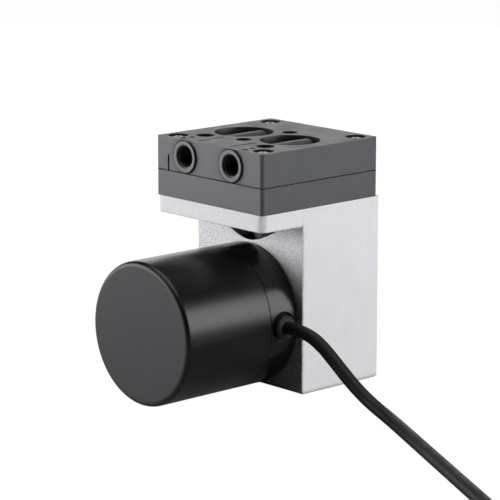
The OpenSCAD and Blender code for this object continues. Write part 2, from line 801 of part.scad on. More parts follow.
module motor_base() {
    cav_r = motor_r - base_wall;
    lip_r = motor_r - can_wall - fit_gap;
    bearing_lip = small_bearing_r - bearing_stop;
    step_r = motor_r - base_step_w;
    color(can_black) difference() {
        union() {
            on_shaft() rotate_extrude() polygon([
                [small_bearing_r, 0], [small_bearing_r, small_bearing_w],
                [bearing_lip, small_bearing_w], [bearing_lip, tube_l - small_bearing_w],
                [small_bearing_r, tube_l - small_bearing_w], [small_bearing_r, tube_l],
                [small_bearing_r + tube_wall, tube_l], [small_bearing_r + tube_wall, base_floor],
                [cav_r, base_floor], [cav_r, base_l + lip_h], [lip_r, base_l + lip_h],
                [lip_r, base_l], [motor_r, base_l], [motor_r, base_step_h],
                [step_r, base_step_h], [step_r, 0], [crank_bore_r - fit_gap, 0],
                [crank_bore_r - fit_gap, -spigot_h], [spigot_in_r, -spigot_h], [spigot_in_r, 0]]);
            for (a = stand_angles) on_shaft() rotate([0, 0, a])
                translate([stand_ring, 0, base_floor - 1])
                    cylinder(h = board_back - base_floor + 1, r = stand_r);
        }
        for (a = base_screw_angles) on_shaft() rotate([0, 0, a])
            translate([base_screw_ring, 0, -1]) cylinder(h = base_floor + 2, r = m3_r + clear);
        for (a = stand_angles) on_shaft() rotate([0, 0, a])
            translate([stand_ring, 0, board_back - stand_screw_l - 1])
                cylinder(h = stand_screw_l + 2, r = stand_screw_r);
        translate([gland_recess_x, gland_y, axis_h]) rotate([0, 90, 0])
            cylinder(h = 5, r = gland_recess_r);
        translate([motor_r - base_wall - 2, gland_y, axis_h]) rotate([0, 90, 0])
            cylinder(h = base_wall + 3, r = gland_neck_r);
    }
}

module motor_base_screws() {
    color(steel) for (a = base_screw_angles) on_shaft(base_floor) rotate([0, 0, a])
        translate([base_screw_ring, 0, 0])
            pan_screw(m3_r, m3_head_r, m3_head_h, base_floor, m3_tap_r, base_screw_bite);
}

module driver_board() {
    color(board_green) on_shaft(board_back) difference() {
        cylinder(h = board_t, r = board_r);
        translate([0, 0, -1])
            cylinder(h = board_t + 2, r = small_bearing_r + tube_wall + 3 * clear);
        for (a = stand_angles) rotate([0, 0, a]) translate([stand_ring, 0, -1])
            cylinder(h = board_t + 2, r = stand_screw_r + clear);
    }
}

// Driver chips, capacitors and the wire terminal on the board
module board_parts() {
    color(rubber) on_shaft(board_back + board_t) {
        for (a = chip_angles) rotate([0, 0, a]) translate([chip_x, -chip[1] / 2, 0]) cube(chip);
        for (a = cap_angles) rotate([0, 0, a]) translate([cap_x, 0, 0]) cylinder(h = cap_r, r = cap_r);
    }
    color(steel) on_shaft(board_back) translate([terminal_x, -terminal_l / 2, -terminal_h])
        cube([terminal_w, terminal_l, terminal_h]);
}

module board_screws() {
    color(steel) for (a = stand_angles) on_shaft(board_back + board_t) rotate([0, 0, a])
        translate([stand_ring, 0, 0]) difference() {
            union() {
                cylinder(h = stand_head_h, r = stand_head_r);
                translate([0, 0, -board_t - stand_screw_l])
                    cylinder(h = board_t + stand_screw_l + eps, r = stand_screw_r);
            }
            translate([0, 0, stand_head_h / 2])
                cylinder(h = stand_head_h, r = stand_hex_r, $fn = hex_sides);
        }
}

// A half outline of a cup with a rounded rim edge, for turning
module cup_outline(r, l, edge) {
    square([r, l - edge]);
    square([r - edge, l]);
    translate([r - edge, l - edge]) circle(edge);
}

module motor_cover() {
    color(can_black) on_shaft(base_l) rotate_extrude() difference() {
        cup_outline(motor_r, motor_l - base_l, can_round);
        translate([0, -1]) cup_outline(motor_r - can_wall, motor_l - base_l - can_front + 1, 0.8);
        // Fine groove where the can meets its base
        translate([motor_r - can_seam, -1]) square([can_seam + 1, can_seam + 1]);
    }
}

module cable_grommet() {
    neck_l = gland_recess_x - (motor_r - base_wall);
    color(rubber) translate([gland_recess_x, gland_y, axis_h]) rotate([0, 90, 0]) difference() {
        union() {
            cylinder(h = lead_start_x - gland_recess_x - 0.4, r = gland_r);
            cylinder(h = lead_start_x - gland_recess_x, r = gland_r - 0.5);
            translate([0, 0, -neck_l - 1.4]) cylinder(h = neck_l + 2, r = gland_neck_r);
        }
        translate([0, 0, -neck_l - 3]) cylinder(h = 12, r = lead_r);
    }
}

module cable_inner_end() {
    color(rubber) translate([jacket_end_x, gland_y, axis_h]) rotate([0, 90, 0])
        cylinder(h = lead_start_x - jacket_end_x, r = lead_r);
    color(copper) for (s = [-1.5, -0.5, 0.5, 1.5])
        translate([terminal_x + terminal_w, gland_y, axis_h + s * core_step])
            rotate([0, 90, 0]) cylinder(h = core_l + eps, r = core_r);
}

// Helpers for the lead: a tube of round rings along a list of points
function unit(v) = v / norm(v);
function heading(p, i) = unit(p[min(i + 1, len(p) - 1)] - p[max(i - 1, 0)]);
function side_of(p, i) = unit(cross(heading(p, i), [0, 0, 1]));
function lead_ring(p, i) = let (u = side_of(p, i), v = cross(u, heading(p, i)))
    [for (k = [0 : lead_sides - 1]) p[i]
        + lead_r * (cos(k * 360 / lead_sides) * u + sin(k * 360 / lead_sides) * v)];

module lead_tube(p) {
    n = lead_sides;
    last = (len(p) - 1) * n;
    polyhedron(
        points = [for (i = [0 : len(p) - 1]) each lead_ring(p, i)],
        faces = concat(
            [[for (k = [0 : n - 1]) k]],
            [for (i = [0 : len(p) - 2], k = [0 : n - 1])
                [i * n + k, (i + 1) * n + k, (i + 1) * n + (k + 1) % n, i * n + (k + 1) % n]],
            [[for (k = [n - 1 : -1 : 0]) last + k]]));
}

module cable() {
    color(rubber) lead_tube(lead_points);
}

// The coiled length, which lies flat beside the pump
module cable_coil() {
    color(rubber) translate([coil_at[0], coil_at[1], lead_r + floor_gap]) rotate_extrude() {
        translate([coil_r - coil_drop, -lead_r]) square([coil_drop, cable_d]);
        translate([coil_r - coil_drop, 0]) circle(lead_r);
        translate([coil_r, 0]) circle(lead_r);
    }
}

// The last of the lead, which rises onto the coil and ends in the plug
tail_r = coil_r - coil_drop;
tail_from = coil_start + 360 * coil_flat;
tail_steps = 8;
tail_turn = 360 * coil_top / tail_steps;
tail_points = [for (i = [0 : tail_steps]) let (a = tail_from + i * tail_turn, s = min(1, i / 6))
    [coil_at[0] + tail_r * cos(a), coil_at[1] + tail_r * sin(a),
        lead_r + floor_gap + (cable_d + 0.1) * s * s * (3 - 2 * s)]];

module cable_tail() {
    color(rubber) lead_tube(tail_points);
}

module lead_plug() {
    a = tail_from + tail_steps * tail_turn;
    color(black_plastic) translate([coil_at[0], coil_at[1], cable_d + 0.2]) rotate([0, 0, a])
        translate([tail_r, 0, 0]) difference() {
            translate([-plug[0] / 2, 0, 0]) cube(plug);
            for (x = [-1, 0, 1])
                translate([x * plug_pitch - plug_hole / 2, plug[1] - plug_hole_l,
                    (plug[2] - plug_hole) / 2])
                    cube([plug_hole, plug_hole_l + 1, plug_hole]);
        }
}

housing();
lower_head_plate();
head_cover();
head_screws();
centre_screws();
valve_seals();
inlet_valve_disc();
outlet_valve_disc();
diaphragm();
clamp_disc();
clamp_screw();
connecting_rod();
rod_bearing_outer_ring();
rod_bearing_inner_ring();
rod_bearing_balls();
pin_clip();
eccentric();
eccentric_set_screw();
motor_shaft();
rotor_bell();
rotor_magnets();
stator_core();
stator_windings();
small_outer_ring(tube_l - small_bearing_w);  // front_bearing_outer_ring
small_inner_ring(tube_l - small_bearing_w);  // front_bearing_inner_ring
small_balls(tube_l - small_bearing_w);  // front_bearing_balls
small_outer_ring(0);  // rear_bearing_outer_ring
small_inner_ring(0);  // rear_bearing_inner_ring
small_balls(0);  // rear_bearing_balls
motor_base();
motor_base_screws();
driver_board();
board_parts();
board_screws();
motor_cover();
cable_grommet();
cable_inner_end();
cable();
cable_coil();
cable_tail();
lead_plug();
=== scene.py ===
"""Dresses a diaphragm vacuum pump: finishes for every part, its lead, and the studio."""
import logging
import math
from dataclasses import dataclass
from enum import Enum

import bmesh
import bpy
from mathutils import Matrix, Vector


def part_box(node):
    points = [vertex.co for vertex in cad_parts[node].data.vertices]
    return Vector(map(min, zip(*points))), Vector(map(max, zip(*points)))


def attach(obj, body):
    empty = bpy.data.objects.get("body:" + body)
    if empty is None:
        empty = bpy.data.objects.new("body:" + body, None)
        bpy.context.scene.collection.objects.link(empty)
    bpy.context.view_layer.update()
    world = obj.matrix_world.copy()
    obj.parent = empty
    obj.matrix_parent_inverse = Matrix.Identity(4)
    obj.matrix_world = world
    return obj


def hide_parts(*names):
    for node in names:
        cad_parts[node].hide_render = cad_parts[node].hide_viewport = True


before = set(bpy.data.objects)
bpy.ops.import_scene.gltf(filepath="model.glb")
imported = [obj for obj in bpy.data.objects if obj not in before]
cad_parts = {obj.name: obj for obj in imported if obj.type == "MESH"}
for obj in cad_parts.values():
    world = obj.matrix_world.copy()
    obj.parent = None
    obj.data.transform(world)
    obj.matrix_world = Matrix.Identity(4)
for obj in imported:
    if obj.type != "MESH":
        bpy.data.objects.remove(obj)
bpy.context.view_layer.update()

log = logging.getLogger("pump")
MM = 0.001

COVER_LOW, COVER_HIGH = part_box("head_cover")
PLATE_LOW, PLATE_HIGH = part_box("lower_head_plate")
CAN_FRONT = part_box("motor_cover")[0].y
RIM_FRONT = COVER_LOW.y
HEAD_FRONT = PLATE_LOW.y

Point = tuple[float, float, float]
Socket = bpy.types.NodeSocket


class Body(Enum):
    """The bodies that new pieces ride on."""

    HOUSING = "housing"


class Slot(Enum):
    """The names of the record's material slots."""

    HEAD = "head_plastic"
    RUBBER = "rubber"
    JACKET = "cable_jacket"


class Axis(Enum):
    """The directions that patterns are read along."""

    Y = "Y"
    Z = "Z"


class Place(Enum):
    """The coordinates that patterns are laid on: an object's own, or the world's directions."""

    OBJECT = "Object"
    DIRECTION = "Generated"


class Curve(Enum):
    """How a value goes from one limit to the other."""

    STRAIGHT = "LINEAR"
    SMOOTH = "SMOOTHSTEP"


class Sum(Enum):
    """How two values make a third."""

    TIMES = "MULTIPLY"
    LESS = "SUBTRACT"
    SIZE = "ABSOLUTE"
    HIGHER = "MAXIMUM"


class Wiring:
    """A node tree, with short calls to add nodes and join them."""

    def __init__(self, tree: bpy.types.NodeTree, end: str = "ShaderNodeOutputMaterial") -> None:
        """Empties a tree and gives it its output.

        Args:
            tree: the material's or the world's tree.
            end: the output node's type name.
        """
        self.tree = tree
        self.tree.nodes.clear()
        self.out = self.add(end)

    def add(self, kind: str, values: dict[str, object] | None = None, **settings: object) -> bpy.types.Node:
        """Adds a node.

        Args:
            kind: the node's type name.
            values: plain values of its inputs, by name.
            settings: properties to set on it.

        Returns:
            The new node.
        """
        node = self.tree.nodes.new(kind)
        for key, value in settings.items():
            setattr(node, key, value)
        for key, value in (values or {}).items():
            node.inputs[key].default_value = value
        return node

    def join(self, source: Socket, target: Socket) -> None:
        """Joins an output to an input."""
        self.tree.links.new(source, target)

    def place(self, where: Place = Place.OBJECT) -> Socket:
        """Gives a coordinate output."""
        return self.add("ShaderNodeTexCoord").outputs[where.value]

    def along(self, source: Socket, axis: Axis) -> Socket:
        """Gives one part of a coordinate.

        Args:
            source: the coordinate.
            axis: the direction to read.

        Returns:
            That part.
        """
        parts = self.add("ShaderNodeSeparateXYZ")
        self.join(source, parts.inputs[0])
        return parts.outputs[axis.value]

    def noise(self, scale: float, detail: float = 2.0, rough: float = 0.5) -> Socket:
        """Adds a noise pattern on the object's own coordinates.

        Args:
            scale: waves in a metre.
            detail: number of finer layers.
            rough: strength of the finer layers.

        Returns:
            The pattern's value output.
        """
        node = self.add("ShaderNodeTexNoise", {"Scale": scale, "Detail": detail, "Roughness": rough})
        self.join(self.place(), node.inputs["Vector"])
        return node.outputs["Fac"]

    def spread(
        self,
        source: Socket,
        low: float,
        high: float,
        start: float = 0.3,
        stop: float = 0.7,
        curve: Curve = Curve.STRAIGHT,
    ) -> Socket:
        """Maps a range of a pattern to new limits.

        Args:
            source: the pattern.
            low: the new value at start.
            high: the new value at stop.
            start: the pattern's value to start at.
            stop: the pattern's value to stop at.
            curve: how it goes between the two.

        Returns:
            The mapped value.
        """
        node = self.add(
            "ShaderNodeMapRange",
            {"From Min": start, "From Max": stop, "To Min": low, "To Max": high},
            interpolation_type=curve.value,
        )
        self.join(source, node.inputs["Value"])
        return node.outputs["Result"]

    def math(self, operation: Sum, first: Socket, second: Socket | float) -> Socket:
        """Works out a value from two others.

        Args:
            operation: the sum to make.
            first: a pattern.
            second: a pattern or a plain number.

        Returns:
            The result.
        """
        node = self.add("ShaderNodeMath", operation=operation.value)
        self.join(first, node.inputs[0])
        if isinstance(second, float):
            node.inputs[1].default_value = second
        else:
            self.join(second, node.inputs[1])
        return node.outputs[0]

    def fade(self, factor: Socket, first: Socket, second: Socket | float) -> Socket:
        """Fades from one value to another.

        Args:
            factor: 0 gives the first, 1 the second.
            first: a pattern.
            second: a pattern or a plain number.

        Returns:
            The faded value.
        """
        node = self.add("ShaderNodeMix")
        self.join(factor, node.inputs["Factor"])
        self.join(first, node.inputs["A"])
        if isinstance(second, float):
            node.inputs["B"].default_value = second
        else:
            self.join(second, node.inputs["B"])
        return node.outputs["Result"]

    def blend(self, factor: Socket, first: Socket, second: Socket) -> Socket:
        """Fades from one shader to another.

        Args:
            factor: 0 gives the first, 1 the second.
            first: a shader.
            second: a shader.

        Returns:
            The faded shader.
        """
        node = self.add("ShaderNodeMixShader")
        self.join(factor, node.inputs["Fac"])
        self.join(first, node.inputs[1])
        self.join(second, node.inputs[2])
        return node.outputs[0]


@dataclass(frozen=True)
class Finish:
    """A surface: its colour, gloss and grain."""

    name: str
    colour: Point
    roughness: float
    metallic: float = 0.0
    gloss: float = 0.5
    mottle: float = 0.06
    mottle_scale: float = 200.0
    worn: float = 0.12
    grain_scale: float = 3000.0
    grain_depth: float = 0.01 * MM
    grain_tint: float = 0.0
    edge: float = 0.1 * MM
    edge_samples: int = 6

    def make(self) -> bpy.types.Material:
        """Builds the material.

        Returns:
            The finished material.
        """
        material = bpy.data.materials.new(self.name)
        material.use_nodes = True
        wires = Wiring(material.node_tree)
        skin = wires.add(
            "ShaderNodeBsdfPrincipled", {"Metallic": self.metallic, "Specular IOR Level": self.gloss}
        )
        wires.join(skin.outputs["BSDF"], wires.out.inputs["Surface"])
        cloud = wires.noise(self.mottle_scale, 3.0)
        grain = wires.noise(self.grain_scale, 2.0, 0.6)
        wires.join(self.tone(wires, cloud, grain), skin.inputs["Base Color"])
        wires.join(self.dullness(wires, cloud), skin.inputs["Roughness"])
        wires.join(self.relief(wires, grain), skin.inputs["Normal"])
        return material

    def shade(self, wires: Wiring, cloud: Socket, grain: Socket) -> Socket:
        """Gives the brightness over the surface, 1 on average.

        Args:
            wires: the material's tree.
            cloud: the slow pattern.
            grain: the fine pattern.

        Returns:
            The brightness.
        """
        slow = wires.spread(cloud, 1.0 - self.mottle, 1.0 + self.mottle)
        fine = wires.spread(grain, 1.0 - self.grain_tint, 1.0 + self.grain_tint)
        return wires.math(Sum.TIMES, slow, fine)

    def tone(self, wires: Wiring, cloud: Socket, grain: Socket) -> Socket:
        """Varies the colour a little over the surface.

        Args:
            wires: the material's tree.
            cloud: the slow pattern.
            grain: the fine pattern.

        Returns:
            The colour.
        """
        tint = wires.add("ShaderNodeMix", data_type="RGBA", blend_type="MULTIPLY")
        tint.inputs["Factor"].default_value = 1.0
        tint.inputs["A"].default_value = (*self.colour, 1.0)
        wires.join(self.shade(wires, cloud, grain), tint.inputs["B"])
        return tint.outputs["Result"]

    def dullness(self, wires: Wiring, cloud: Socket) -> Socket:
        """Gives the roughness, which varies a little over the surface."""
        step = self.roughness * self.worn
        return wires.spread(cloud, self.roughness - step, self.roughness + step)

    def height(self, wires: Wiring, grain: Socket) -> Socket:
        """Gives the height of the grain, from the fine pattern."""
        return grain

    def relief(self, wires: Wiring, grain: Socket) -> Socket:
        """Rounds the edges and raises the grain.

        Args:
            wires: the material's tree.
            grain: the fine pattern.

        Returns:
            The surface's direction.
        """
        rounded = wires.add("ShaderNodeBevel", {"Radius": self.edge}, samples=self.edge_samples)
        bump = wires.add("ShaderNodeBump", {"Distance": self.grain_depth, "Strength": 1.0})
        wires.join(self.height(wires, grain), bump.inputs["Height"])
        wires.join(rounded.outputs["Normal"], bump.inputs["Normal"])
        return bump.outputs["Normal"]


@dataclass(frozen=True)
class CastFinish(Finish):
    """Blasted alloy, coarser on the face that carries the motor, which was left as cast."""

    cast_y: float = HEAD_FRONT + 20.9 * MM
    reach: float = 0.3 * MM
    coarser: float = 4.0
    speckle: float = 0.17

    def cast(self, wires: Wiring, on: float, off: float) -> Socket:
        """Gives one value on the cast face and another off it."""
        along = wires.math(Sum.LESS, wires.along(wires.place(), Axis.Y), self.cast_y)
        return wires.spread(wires.math(Sum.SIZE, along, 0.0), on, off, 0.0, self.reach)

    def shade(self, wires: Wiring, cloud: Socket, grain: Socket) -> Socket:
        """Gives the brightness over the surface, speckled on the cast face.

        Args:
            wires: the material's tree.
            cloud: the slow pattern.
            grain: the fine pattern.

        Returns:
            The brightness.
        """
        speckled = wires.spread(grain, 1.0 - self.speckle, 1.0 + self.speckle)
        plain = super().shade(wires, cloud, grain)
        return wires.math(Sum.TIMES, plain, wires.fade(self.cast(wires, 0.0, 1.0), speckled, 1.0))

    def height(self, wires: Wiring, grain: Socket) -> Socket:
        """Gives the height of the grain, coarser on the cast face."""
        return wires.math(Sum.TIMES, grain, self.cast(wires, self.coarser, 1.0))


@dataclass(frozen=True)
class CanFinish(Finish):
    """Satin black, duller on the can's flat end, whose colour is painted paler as a painted sheen."""

    # the flat end's painted sheen: how many times paler its colour is made
    painted_end_sheen: float = 8.4
    end_roughness: float = 0.5
    end_from: float = CAN_FRONT + 0.5 * MM
    end_to: float = CAN_FRONT + 0.1 * MM

    def end(self, wires: Wiring, side: float, end: float) -> Socket:
        """Gives one value on the can's side and another on its end."""
        return wires.spread(wires.along(wires.place(), Axis.Y), side, end, self.end_from, self.end_to)

    def shade(self, wires: Wiring, cloud: Socket, grain: Socket) -> Socket:
        """Gives the brightness over the surface, with the end painted paler as a painted sheen."""
        plain = super().shade(wires, cloud, grain)
        return wires.math(Sum.TIMES, plain, self.end(wires, 1.0, self.painted_end_sheen))

    def dullness(self, wires: Wiring, cloud: Socket) -> Socket:
        """Gives the roughness, with a duller end."""
        more = self.end(wires, 1.0, self.end_roughness / self.roughness)
        return wires.math(Sum.TIMES, super().dullness(wires, cloud), more)


@dataclass(frozen=True)
class MouldedFinish(Finish):
    """Moulded plastic, duller inside its holes and slots, and darkened there with painted shade."""

    reach: float = 7 * MM
    reach_samples: int = 8
    # brightness left deep inside a hole: painted shade
    deep: float = 0.04
    deep_roughness: float = 0.95
    closed_at: float = -0.55
    open_at: float = -0.1
    wall: float = 3.5
    wall_at: float = 0.2
    level_at: float = 0.6
    rim_from: float = HEAD_FRONT - 0.05 * MM
    rim_to: float = HEAD_FRONT - 0.1 * MM
    rim_pale: float = 1.9

    def hole_shade_mask(self, wires: Wiring) -> Socket:
        """Finds the holes, whose upright walls count as deep sooner, for the painted shade and the duller
        roughness there.

        Args:
            wires: the material's tree.

        Returns:
            1 on open faces and 0 deep inside a hole.
        """
        near = wires.add(
            "ShaderNodeAmbientOcclusion",
            {"Distance": self.reach},
            samples=self.reach_samples,
            only_local=True,
        )
        closed = wires.math(Sum.LESS, near.outputs["AO"], 1.0)
        rise = wires.along(wires.add("ShaderNodeNewGeometry").outputs["Normal"], Axis.Z)
        level = wires.math(Sum.SIZE, rise, 0.0)
        steep = wires.spread(level, self.wall, 1.0, self.wall_at, self.level_at)
        hidden = wires.math(Sum.TIMES, closed, steep)
        return wires.spread(hidden, 0.0, 1.0, self.closed_at, self.open_at)

    def rim(self, wires: Wiring) -> Socket:
        """Gives a paler tone on the ports' front rims, and 1 elsewhere."""
        across = wires.along(wires.place(), Axis.Y)
        return wires.spread(across, 1.0, self.rim_pale, self.rim_from, self.rim_to)

    def shade(self, wires: Wiring, cloud: Socket, grain: Socket) -> Socket:
        """Gives the brightness over the surface, with painted shade darkening the holes.

        Args:
            wires: the material's tree.
            cloud: the slow pattern.
            grain: the fine pattern.

        Returns:
            The brightness.
        """
        # painted shade: the colour darkens deep in the holes and on their upright walls
        painted_shade = wires.spread(self.hole_shade_mask(wires), self.deep, 1.0, 0.0, 1.0)
        tone = wires.math(Sum.TIMES, super().shade(wires, cloud, grain), self.rim(wires))
        return wires.math(Sum.TIMES, tone, painted_shade)

    def dullness(self, wires: Wiring, cloud: Socket) -> Socket:
        """Gives the roughness, with dull holes."""
        more = wires.spread(self.hole_shade_mask(wires), self.deep_roughness / self.roughness, 1.0, 0.0, 1.0)
        return wires.math(Sum.TIMES, super().dullness(wires, cloud), more)


ALLOY = CastFinish(
    "blasted_alloy", (0.61, 0.615, 0.635), 0.6, metallic=0.15, gloss=0.3, mottle=0.03, mottle_scale=90.0,
    grain_scale=1700.0, grain_depth=0.09 * MM, grain_tint=0.1, edge=0.7 * MM,
)
HEAD_BLACK = MouldedFinish(
    "head_black", (0.049, 0.051, 0.06), 0.48, gloss=0.58, mottle=0.08, mottle_scale=150.0,
    grain_scale=4200.0, grain_depth=0.02 * MM, grain_tint=0.1, edge=0.35 * MM,
)
CAN_BLACK = CanFinish(
    "can_satin_black", (0.003, 0.003, 0.0035), 0.31, gloss=0.35, mottle=0.05, mottle_scale=100.0,
    worn=0.03, grain_scale=5000.0, grain_depth=0.008 * MM, edge=0.2 * MM,
)
BASE_BLACK = Finish(
    "base_satin_black", (0.004, 0.004, 0.0045), 0.22, gloss=0.27, mottle=0.05, mottle_scale=100.0,
    worn=0.03, grain_scale=5000.0, grain_depth=0.006 * MM, edge=0.2 * MM,
)
JACKET = Finish(
    "jacket_black", (0.005, 0.005, 0.0055), 0.55, gloss=0.28, mottle=0.08, mottle_scale=180.0,
    grain_scale=3500.0,
)
GROMMET = Finish(
    "grommet_rubber", (0.02, 0.02, 0.021), 0.6, gloss=0.3, mottle=0.6, mottle_scale=700.0,
    grain_scale=3500.0, grain_depth=0.015 * MM, edge=0.2 * MM,
)
THREAD_BLACK = Finish(
    "thread_black", (0.05, 0.051, 0.055), 0.4, grain_scale=4200.0, grain_depth=0.004 * MM,
    edge=0.05 * MM,
)
# near-black matt ring for the head's joint: painted shade
JOINT_SHADE = Finish("joint_shade_black", (0.002, 0.002, 0.002), 0.9, gloss=0.05, grain_scale=4000.0)
RUBBER = Finish("elastomer", (0.02, 0.02, 0.02), 0.7, gloss=0.35, mottle=0.1, grain_depth=0.02 * MM)
SCREW_STEEL = Finish(
    "zinc_screw", (0.8, 0.81, 0.83), 0.36, metallic=1.0, mottle=0.04, mottle_scale=400.0,
    grain_scale=6000.0, grain_depth=0.006 * MM, edge=0.15 * MM,
)
STEEL = Finish(
    "ground_steel", (0.66, 0.67, 0.69), 0.28, metallic=1.0, mottle=0.04, mottle_scale=300.0,
    grain_scale=5000.0, grain_depth=0.006 * MM,
)
DARK_STEEL = Finish("blackened_steel", (0.16, 0.16, 0.17), 0.42, metallic=0.8, mottle=0.08)
MAGNET = Finish("plated_magnet", (0.5, 0.5, 0.52), 0.3, metallic=1.0, grain_scale=4000.0)
COPPER = Finish(
    "enamelled_copper", (0.62, 0.27, 0.1), 0.35, metallic=0.7, mottle=0.15, mottle_scale=900.0,
    grain_scale=2500.0, grain_depth=0.06 * MM, grain_tint=0.2,
)
BOARD = Finish(
    "board_lacquer", (0.01, 0.1, 0.045), 0.35, mottle=0.1, mottle_scale=500.0, grain_scale=2500.0,
    grain_tint=0.15,
)
CHIP = Finish("chip_epoxy", (0.02, 0.02, 0.021), 0.5, mottle=0.05, mottle_scale=400.0, grain_scale=5000.0)
PLUG_NYLON = Finish(
    "plug_nylon", (0.03, 0.03, 0.031), 0.5, mottle_scale=300.0, grain_scale=4000.0, edge=0.2 * MM,
)


@dataclass(frozen=True)
class Wardrobe:
    """Which finish each modelled part wears."""

    finishes: tuple[tuple[Finish, tuple[str, ...]], ...] = (
        (ALLOY, ("housing",)),
        (HEAD_BLACK, ("lower_head_plate", "head_cover", "connecting_rod")),
        (CAN_BLACK, ("motor_cover",)),
        (BASE_BLACK, ("motor_base",)),
        (GROMMET, ("cable_grommet",)),
        (JACKET, ("cable_inner_end", "cable", "cable_coil", "cable_tail")),
        (RUBBER, ("valve_seals", "inlet_valve_disc", "outlet_valve_disc", "diaphragm")),
        (SCREW_STEEL, ("head_screws", "centre_screws", "motor_base_screws", "board_screws")),
        (
            STEEL,
            (
                "clamp_disc",
                "motor_shaft",
                "rod_bearing_outer_ring",
                "rod_bearing_inner_ring",
                "rod_bearing_balls",
                "front_bearing_outer_ring",
                "front_bearing_inner_ring",
                "front_bearing_balls",
                "rear_bearing_outer_ring",
                "rear_bearing_inner_ring",
                "rear_bearing_balls",
            ),
        ),
        (
            DARK_STEEL,
            (
                "clamp_screw",
                "pin_clip",
                "eccentric",
                "eccentric_set_screw",
                "rotor_bell",
                "stator_core",
            ),
        ),
        (MAGNET, ("rotor_magnets",)),
        (COPPER, ("stator_windings",)),
        (BOARD, ("driver_board",)),
        (CHIP, ("board_parts",)),
        (PLUG_NYLON, ("lead_plug",)),
    )

    def dress(self) -> dict[str, bpy.types.Material]:
        """Gives every modelled part its finish.

        Returns:
            The materials by name.
        """
        made: dict[str, bpy.types.Material] = {}
        for finish, nodes in self.finishes:
            made[finish.name] = finish.make()
            for node in nodes:
                wear(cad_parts[node], made[finish.name])
                log.info("%s wears %s", node, finish.name)
        return made


def wear(piece: bpy.types.Object, material: bpy.types.Material) -> None:
    """Puts a material in every slot of a piece.

    Args:
        piece: the piece to dress.
        material: its finish.
    """
    if not piece.material_slots:
        piece.data.materials.append(material)
    for slot in piece.material_slots:
        slot.material = material


def seat(name: str, mesh: bmesh.types.BMesh, material: bpy.types.Material) -> bpy.types.Object:
    """Makes a piece of a finished bmesh, which rides on the housing.

    Args:
        name: the piece's name.
        mesh: its shape, which is freed.
        material: its finish.

    Returns:
        The new object.
    """
    data = bpy.data.meshes.new(name)
    mesh.to_mesh(data)
    mesh.free()
    piece = bpy.data.objects.new(name, data)
    bpy.context.scene.collection.objects.link(piece)
    wear(piece, material)
    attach(piece, Body.HOUSING.value)
    log.info("%s made, %d faces", name, len(data.polygons))
    return piece


@dataclass
class Port:
    """The thread inside a port of the head, one continuous ridge."""

    name: str
    side: int
    spacing: float = 26 * MM
    below_top: float = 6.3 * MM
    inset: float = 0.4 * MM
    wall_r: float = 4.3 * MM
    sunk: float = 0.02 * MM
    depth: float = 8.6 * MM
    pitch: float = 0.907 * MM
    ridge: float = 0.34 * MM
    foot_share: float = 0.4
    crest_share: float = 0.08
    facets: int = 48

    def mouth(self) -> Point:
        """Gives the middle of the thread's outer end."""
        return (self.side * self.spacing / 2, RIM_FRONT + self.inset, COVER_HIGH.z - self.below_top)

    def thread(self, material: bpy.types.Material) -> bpy.types.Object:
        """Turns a small profile round the port while it moves inwards.

        Args:
            material: the ridge's finish.

        Returns:
            The thread.
        """
        foot, crest = self.foot_share * self.pitch, self.crest_share * self.pitch
        outer, inner = self.wall_r + self.sunk, self.wall_r - self.ridge
        profile = ((outer, 0.0), (inner, foot - crest), (inner, foot + crest), (outer, 2 * foot))
        mesh = bmesh.new()
        ring = [mesh.verts.new((x, 0.0, z)) for x, z in profile]
        edges = [mesh.edges.new((ring[i], ring[(i + 1) % 4])) for i in range(4)]
        turns = (self.depth - self.pitch) / self.pitch
        steps = round(turns * self.facets)
        run = bmesh.ops.spin(
            mesh,
            geom=edges,
            cent=(0.0, 0.0, 0.0),
            axis=(0.0, 0.0, 1.0),
            dvec=(0.0, 0.0, self.pitch / self.facets),
            angle=math.tau * steps / self.facets,
            steps=steps,
        )
        last = [part for part in run["geom_last"] if isinstance(part, bmesh.types.BMEdge)]
        bmesh.ops.contextual_create(mesh, geom=edges)
        bmesh.ops.contextual_create(mesh, geom=last)
        bmesh.ops.recalc_face_normals(mesh, faces=mesh.faces)
        for face in mesh.faces:
            face.smooth = True
        mesh.transform(Matrix.Translation(self.mouth()) @ Matrix.Rotation(-math.pi / 2, 4, "X"))
        return seat(self.name, mesh, material)


@dataclass
class JointShade:
    """A black ring in the narrow joint between the cover and the plate below it: painted shade that darkens
    the joint's line.
    """

    recess: float = 0.04 * MM
    joint: float = 0.3 * MM
    wall: float = 0.5 * MM
    height: float = 0.28 * MM
    corner: float = 1.2 * MM
    corner_steps: int = 6

    def ring(self, material: bpy.types.Material) -> bpy.types.Object:
        """Cuts a thin square ring with round corners.

        Args:
            material: the ring's finish.

        Returns:
            The ring.
        """
        span = PLATE_HIGH - PLATE_LOW
        size = (span.x - 2 * self.recess, span.y - 2 * self.recess, self.height)
        middle = (PLATE_LOW + PLATE_HIGH) / 2
        middle.z = PLATE_HIGH.z + self.joint / 2
        mesh = bmesh.new()
        bmesh.ops.create_cube(mesh, size=1.0)
        bmesh.ops.scale(mesh, vec=size, verts=mesh.verts)
        ends = [(edge, edge.verts[0].co.z - edge.verts[1].co.z) for edge in mesh.edges]
        upright = [edge for edge, rise in ends if abs(rise) > self.height / 2]
        bmesh.ops.bevel(
            mesh,
            geom=upright,
            offset=self.corner,
            offset_type="OFFSET",
            affect="EDGES",
            segments=self.corner_steps,
            profile=0.5,
            material=-1,
        )
        flat = [face for face in mesh.faces if abs(face.normal.z) > 0.9]
        bmesh.ops.inset_individual(mesh, faces=flat, thickness=self.wall)
        rims = [[edge for edge in face.edges] for face in flat]
        bmesh.ops.delete(mesh, geom=flat, context="FACES_ONLY")
        bmesh.ops.bridge_loops(mesh, edges=rims[0] + rims[1])
        bmesh.ops.recalc_face_normals(mesh, faces=mesh.faces)
        bmesh.ops.translate(mesh, vec=middle, verts=mesh.verts)
        return seat("head_joint_shade", mesh, material)


